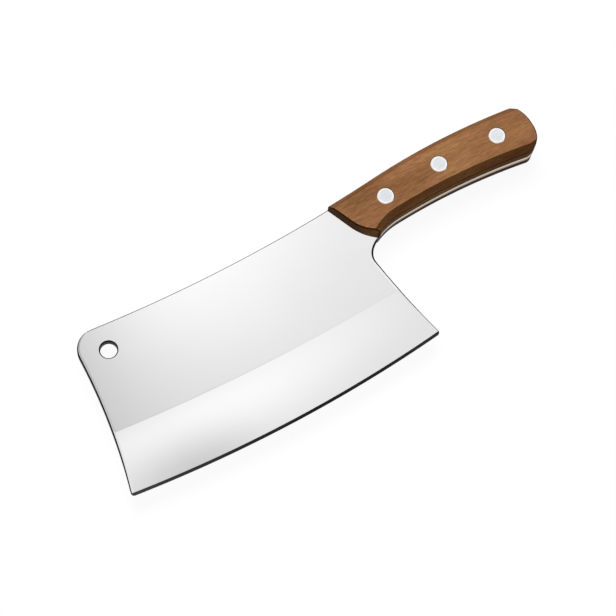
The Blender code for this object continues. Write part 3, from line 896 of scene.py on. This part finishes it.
def vector_maths(tree, operation, *values):
    """A vector, or its length, worked out from vectors or outputs."""
    made = tree.nodes.new("ShaderNodeVectorMath")
    made.operation = operation
    for socket, value in zip(made.inputs, values):
        feed(tree, socket, value)
    return made.outputs["Value" if operation == 'LENGTH' else "Vector"]


def coordinates(tree, kind):
    """A place or direction that varies over a surface or the world."""
    return tree.nodes.new("ShaderNodeTexCoord").outputs[kind]


def part_of(tree, whole, axis):
    """The X, Y or Z of a vector."""
    parts = tree.nodes.new("ShaderNodeSeparateXYZ")
    tree.links.new(whole, parts.inputs["Vector"])
    return parts.outputs[axis]


def noise(tree, fineness, detail=2.0, roughness=0.5, distortion=0.0):
    """Noise over the knife; its fineness is how many waves a metre holds along X, Y and Z."""
    mapping = tree.nodes.new("ShaderNodeMapping")
    mapping.inputs["Scale"].default_value = fineness
    tree.links.new(coordinates(tree, "Object"), mapping.inputs["Vector"])
    made = tree.nodes.new("ShaderNodeTexNoise")
    made.inputs["Scale"].default_value = 1.0
    made.inputs["Detail"].default_value = detail
    made.inputs["Roughness"].default_value = roughness
    made.inputs["Distortion"].default_value = distortion
    tree.links.new(mapping.outputs["Vector"], made.inputs["Vector"])
    return made.outputs["Fac"]


def ranged(tree, value, low, high, to_low, to_high):
    """A value moved from one range to another, held at both ends."""
    made = tree.nodes.new("ShaderNodeMapRange")
    for key, end in (("From Min", low), ("From Max", high), ("To Min", to_low), ("To Max", to_high)):
        made.inputs[key].default_value = end
    tree.links.new(value, made.inputs["Value"])
    return made.outputs["Result"]


def ramp(tree, value, stops):
    """Colours along a value; stops are (place, linear colour)."""
    made = tree.nodes.new("ShaderNodeValToRGB")
    steps = made.color_ramp.elements
    while len(steps) < len(stops):
        steps.new(0.5)
    for step, (place, colour) in zip(steps, stops):
        step.position = place
        step.color = (*colour, 1.0)
    tree.links.new(value, made.inputs["Fac"])
    return made.outputs["Color"]


def mixed(tree, blend, factor, first, second):
    """Two colours mixed; each may be a colour or an output, and so may the factor."""
    made = tree.nodes.new("ShaderNodeMix")
    made.data_type = 'RGBA'
    made.blend_type = blend
    for socket, value in ((made.inputs[0], factor), (made.inputs[6], first), (made.inputs[7], second)):
        feed(tree, socket, value)
    return made.outputs[2]


def with_painted_shade(tree, colour, thickness, painted_shades):
    """A colour with painted shade through the thickness, on what faces the belly's side only.

    Painted shades are (share of the thickness, colour) from the far face to the near one.
    """
    sideways = part_of(tree, coordinates(tree, "Normal"), "Y")
    painted_shade_mask = ranged(tree, sideways, *PAINTED_SHADE_LEAN, 1.0, 0.0)
    height = part_of(tree, coordinates(tree, "Object"), "Z")
    across = ranged(tree, height, -thickness / 2, thickness / 2, 0.0, 1.0)
    return mixed(tree, 'MULTIPLY', painted_shade_mask, colour, ramp(tree, across, painted_shades))


def bumped(tree, shader, height, depth):
    """Relief of a real depth, in metres."""
    bump = tree.nodes.new("ShaderNodeBump")
    bump.inputs["Strength"].default_value = 1.0
    bump.inputs["Distance"].default_value = depth
    tree.links.new(height, bump.inputs["Height"])
    tree.links.new(bump.outputs["Normal"], shader.inputs["Normal"])


def steel(name, tones, roughness, streaks, depth, edge_tint=1.0, painted_shades=(), metallic=1.0):
    """Ground steel: streaks along one direction in its tone, its roughness and its relief; painted shades, if
    given, tint it through the thickness on the belly's side.
    """
    material, tree, shader = new_material(name)
    shader.inputs["Metallic"].default_value = metallic
    shader.inputs["Specular IOR Level"].default_value = USUAL_GLOSS * metallic
    shader.inputs["Specular Tint"].default_value = (edge_tint, edge_tint, edge_tint, 1.0)
    fine = noise(tree, streaks, 3.0, 0.6)
    both = mixed(tree, 'MIX', STEEL_CLOUDINESS, fine, noise(tree, STEEL_CLOUDS))
    colour = ramp(tree, both, [(place, (tone,) * 3) for place, tone in zip(NOISE_SPAN, tones)])
    if painted_shades:
        colour = with_painted_shade(tree, colour, PLATE_THICKNESS, painted_shades)
    tree.links.new(colour, shader.inputs["Base Color"])
    tree.links.new(ranged(tree, fine, *NOISE_SPAN, *roughness), shader.inputs["Roughness"])
    bumped(tree, shader, fine, depth)
    return material


def wood(name, tone, gloss, rough, painted_shades=()):
    """Close-grained brown wood: broad tone, fibres along the handle, short dark pores, and darker end grain,
    partly real and partly painted shade.

    The tone scales its colours and the gloss is its specular level; painted shades, if given, tint it through
    the thickness on the belly's side.
    """
    material, tree, shader = new_material(name)
    fibre = noise(tree, WOOD_FIBRES, 3.0, 0.6, 0.3)
    pores = noise(tree, WOOD_PORES, 1.0)
    grain = mixed(tree, 'MIX', 0.50, noise(tree, WOOD_BANDS, 3.0, 0.55, 0.6), fibre)
    colour = ramp(tree, grain, [(place, [tone * part for part in shade]) for place, shade in WOOD_TONES])
    olive = ranged(tree, noise(tree, WOOD_PATCHES, 1.0), 0.40, 0.60, 0.0, 0.55)
    colour = mixed(tree, 'MULTIPLY', olive, colour, OLIVE_TINT)
    colour = mixed(tree, 'MULTIPLY', ranged(tree, pores, 0.56, 0.70, 0.0, 0.60), colour, PORE_TINT)
    # Faces turned along X darken: real end grain, made stronger as painted shade
    endwise = maths(tree, 'ABSOLUTE', part_of(tree, coordinates(tree, "Normal"), "X"))
    colour = mixed(tree, 'MULTIPLY', ranged(tree, endwise, 0.55, 0.85, 0.0, 0.85), colour, END_GRAIN_AND_SHADE_TINT)
    if painted_shades:
        colour = with_painted_shade(tree, colour, HANDLE_THICKNESS, painted_shades)
    tree.links.new(colour, shader.inputs["Base Color"])
    rough_span = (rough + WOOD_ROUGHNESS_SWING, rough - WOOD_ROUGHNESS_SWING)
    tree.links.new(ranged(tree, fibre, *NOISE_SPAN, *rough_span), shader.inputs["Roughness"])
    shader.inputs["Specular IOR Level"].default_value = gloss
    bumped(tree, shader, mixed(tree, 'MIX', 0.4, fibre, pores), WOOD_RELIEF)
    return material


def rivet_metal():
    """Satin rivet metal: bluish in the middle of a head, polished brighter round its rim."""
    material, tree, shader = new_material("rivet_metal")
    shader.inputs["Metallic"].default_value = 1.0
    flat = vector_maths(tree, 'MULTIPLY', coordinates(tree, "Object"), (1.0, 1.0, 0.0))
    outward = ranged(tree, vector_maths(tree, 'LENGTH', flat), 0.0, RIVET_HEAD_RADIUS, 0.0, 1.0)
    brushed = noise(tree, RIVET_BRUSHING)
    darkened = ranged(tree, brushed, 0.4, 0.6, 0.0, 1.0)
    tone = mixed(tree, 'MULTIPLY', darkened, ramp(tree, outward, RIVET_TONES), RIVET_STREAK_TINT)
    tree.links.new(tone, shader.inputs["Base Color"])
    tree.links.new(ranged(tree, brushed, *NOISE_SPAN, *RIVET_ROUGHNESS), shader.inputs["Roughness"])
    bumped(tree, shader, brushed, RIVET_RELIEF)
    return material


# Stage
def make_camera():
    """The photograph's camera: its angle, roll, distance and field of view."""
    camera = bpy.data.objects.new("camera", bpy.data.cameras.new("camera"))
    bpy.context.scene.collection.objects.link(camera)
    camera.data.sensor_width = SENSOR_WIDTH
    camera.data.lens = SENSOR_WIDTH * FOCAL_PIXELS / PHOTO_PIXELS
    camera.data.clip_end = CAMERA_SIGHT
    flat, rise = math.cos(CAMERA_ELEVATION), math.sin(CAMERA_ELEVATION)
    back = Vector((math.sin(CAMERA_AZIMUTH) * flat, -math.cos(CAMERA_AZIMUTH) * flat, rise))
    right = (-back).cross(Vector((0, 0, 1))).normalized()
    up = back.cross(right)
    turned_right = right * math.cos(CAMERA_ROLL) + up * math.sin(CAMERA_ROLL)
    turned_up = back.cross(turned_right)
    pose = Matrix((turned_right, turned_up, back)).transposed().to_4x4()
    pose.translation = CAMERA_AIM + back * CAMERA_DISTANCE
    camera.matrix_world = pose
    bpy.context.scene.camera = camera


def camera_ray(tree):
    """1 for what the camera sees directly."""
    return tree.nodes.new("ShaderNodeLightPath").outputs["Is Camera Ray"]


def seen_or_mirrored(tree):
    """1 for rays that show the background: from the camera, or by way of metal or glass."""
    path = tree.nodes.new("ShaderNodeLightPath").outputs
    seen = maths(tree, 'MAXIMUM', path["Is Camera Ray"], path["Is Glossy Ray"])
    return maths(tree, 'MAXIMUM', seen, path["Is Transmission Ray"])


def make_floor():
    """Pale floor, which the camera sees nearly white and which keeps a faint shadow."""
    mesh = bpy.data.meshes.new("floor")
    bm = bmesh.new()
    bmesh.ops.create_circle(bm, cap_ends=True, radius=FLOOR_RADIUS, segments=64)
    bm.to_mesh(mesh)
    bm.free()
    floor = bpy.data.objects.new("floor", mesh)
    floor.location.z = -FLOOR_CLEARANCE
    bpy.context.scene.collection.objects.link(floor)
    material, tree, shader = new_material("pale_floor")
    tree.nodes.remove(shader)
    diffuse = tree.nodes.new("ShaderNodeBsdfDiffuse")
    colour = mixed(tree, 'MIX', camera_ray(tree), FLOOR_COLOUR_FOR_LIGHT, FLOOR_COLOUR_FOR_CAMERA)
    tree.links.new(colour, diffuse.inputs["Color"])
    glow = tree.nodes.new("ShaderNodeEmission")
    glow.inputs["Color"].default_value = (*WHITE, 1.0)
    blend = tree.nodes.new("ShaderNodeMixShader")
    whiteness = ranged(tree, seen_or_mirrored(tree), 0.0, 1.0, 0.0, FLOOR_WHITENESS)
    tree.links.new(whiteness, blend.inputs[0])
    tree.links.new(diffuse.outputs[0], blend.inputs[1])
    tree.links.new(glow.outputs[0], blend.inputs[2])
    tree.links.new(blend.outputs[0], tree.nodes["Material Output"].inputs["Surface"])
    mesh.materials.append(material)


def patch_of_light(tree, direction, x, y, half_x, half_y, brightness):
    """A soft-edged oval over the ceiling: its brightness in the middle, 1 outside."""
    from_middle = vector_maths(tree, 'SUBTRACT', direction, (x, y, 0.0))
    squeezed = vector_maths(tree, 'MULTIPLY', from_middle, (1 / half_x, 1 / half_y, 0.0))
    soft = tree.nodes.new("ShaderNodeMapRange")
    soft.interpolation_type = 'SMOOTHSTEP'
    soft.inputs["To Min"].default_value = brightness
    soft.inputs["To Max"].default_value = 1.0
    tree.links.new(vector_maths(tree, 'LENGTH', squeezed), soft.inputs["Value"])
    return soft.outputs["Result"]


def make_world():
    """Soft light from above, a patterned ceiling for the steel to mirror, and a white background."""
    world = bpy.data.worlds.new("studio")
    bpy.context.scene.world = world
    world.use_nodes = True
    tree = world.node_tree
    direction = coordinates(tree, "Generated")
    ceiling = CEILING_LEVEL
    for values in CEILING_PATCHES:
        ceiling = maths(tree, 'MULTIPLY', patch_of_light(tree, direction, *values), ceiling)
    height = part_of(tree, direction, "Z")
    low_down = ranged(tree, height, *HORIZON_BLEND, 1.0, 0.0)
    pale = mixed(tree, 'MIX', low_down, ceiling, WHITE)
    ambient = ranged(tree, height, *AMBIENT_SPAN, *AMBIENT_LEVELS)
    background = tree.nodes["Background"]
    final = mixed(tree, 'MIX', seen_or_mirrored(tree), ambient, pale)
    tree.links.new(final, background.inputs["Color"])
    background.inputs["Strength"].default_value = 1.0


def make_lamp():
    """A broad soft lamp above the spine's side, which mirrors don't show."""
    lamp = bpy.data.objects.new("key_light", bpy.data.lights.new("key_light", 'AREA'))
    bpy.context.scene.collection.objects.link(lamp)
    lamp.data.shape = 'DISK'
    lamp.data.size = LAMP_SIZE
    lamp.data.energy = LAMP_POWER
    way = LAMP_DIRECTION.normalized()
    lamp.location = way * LAMP_DISTANCE
    lamp.rotation_mode = 'QUATERNION'
    lamp.rotation_quaternion = way.to_track_quat('Z', 'Y')
    lamp.visible_glossy = False


def make_stage():
    make_camera()
    make_floor()
    make_world()
    make_lamp()
    bpy.context.scene.view_settings.view_transform = 'Standard'


# Pieces
make_blade((
    steel("steel_flat", (0.86, 0.90), (0.16, 0.18), STREAKS_ALONG, 4e-7),
    steel("steel_wide_bevel", (0.86, 0.90), (0.09, 0.11), STREAKS_ACROSS, 2e-7),
    # Near-black tone of the cutting bevel: painted dark reflection
    steel("steel_cutting_bevel_painted_dark", (0.10, 0.14), (0.14, 0.18), STREAKS_ALONG, 2e-7),
    # Near-black tone of the cut rims and eased strips: painted dark reflection
    steel("steel_cut_rim_painted_dark", (0.006, 0.014), (0.40, 0.50), CUT_GRAIN, 2e-6, metallic=0.1),
    # The tang's rim carries painted shade through the thickness on the belly's side
    steel("steel_tang_rim_painted_shade", (0.90, 1.00), (0.34, 0.42), STREAKS_ALONG, 1e-6, 0.50, TANG_PAINTED_SHADE),
))
WOODS = (
    wood("brown_wood", 1.05, 0.50, 0.50),
    # The facets take a darker, duller copy of the face's wood: painted shade
    wood("brown_wood_facets_painted_shade", 0.72, 0.06, 0.60),
    # The scales' rims carry painted shade through the thickness on the belly's side
    wood("brown_wood_rims_painted_shade", 1.05, 0.04, 0.65, RIM_PAINTED_SHADE),
    # Dark brown of the scales' eased rims and rivet seams: painted shade
    wood("brown_wood_edges_painted_dark", 0.14, 0.02, 0.65),
)
make_scale("near_scale", 1, WOODS)
make_scale("far_scale", -1, WOODS)
make_rivets((rivet_metal(),))
make_stage()
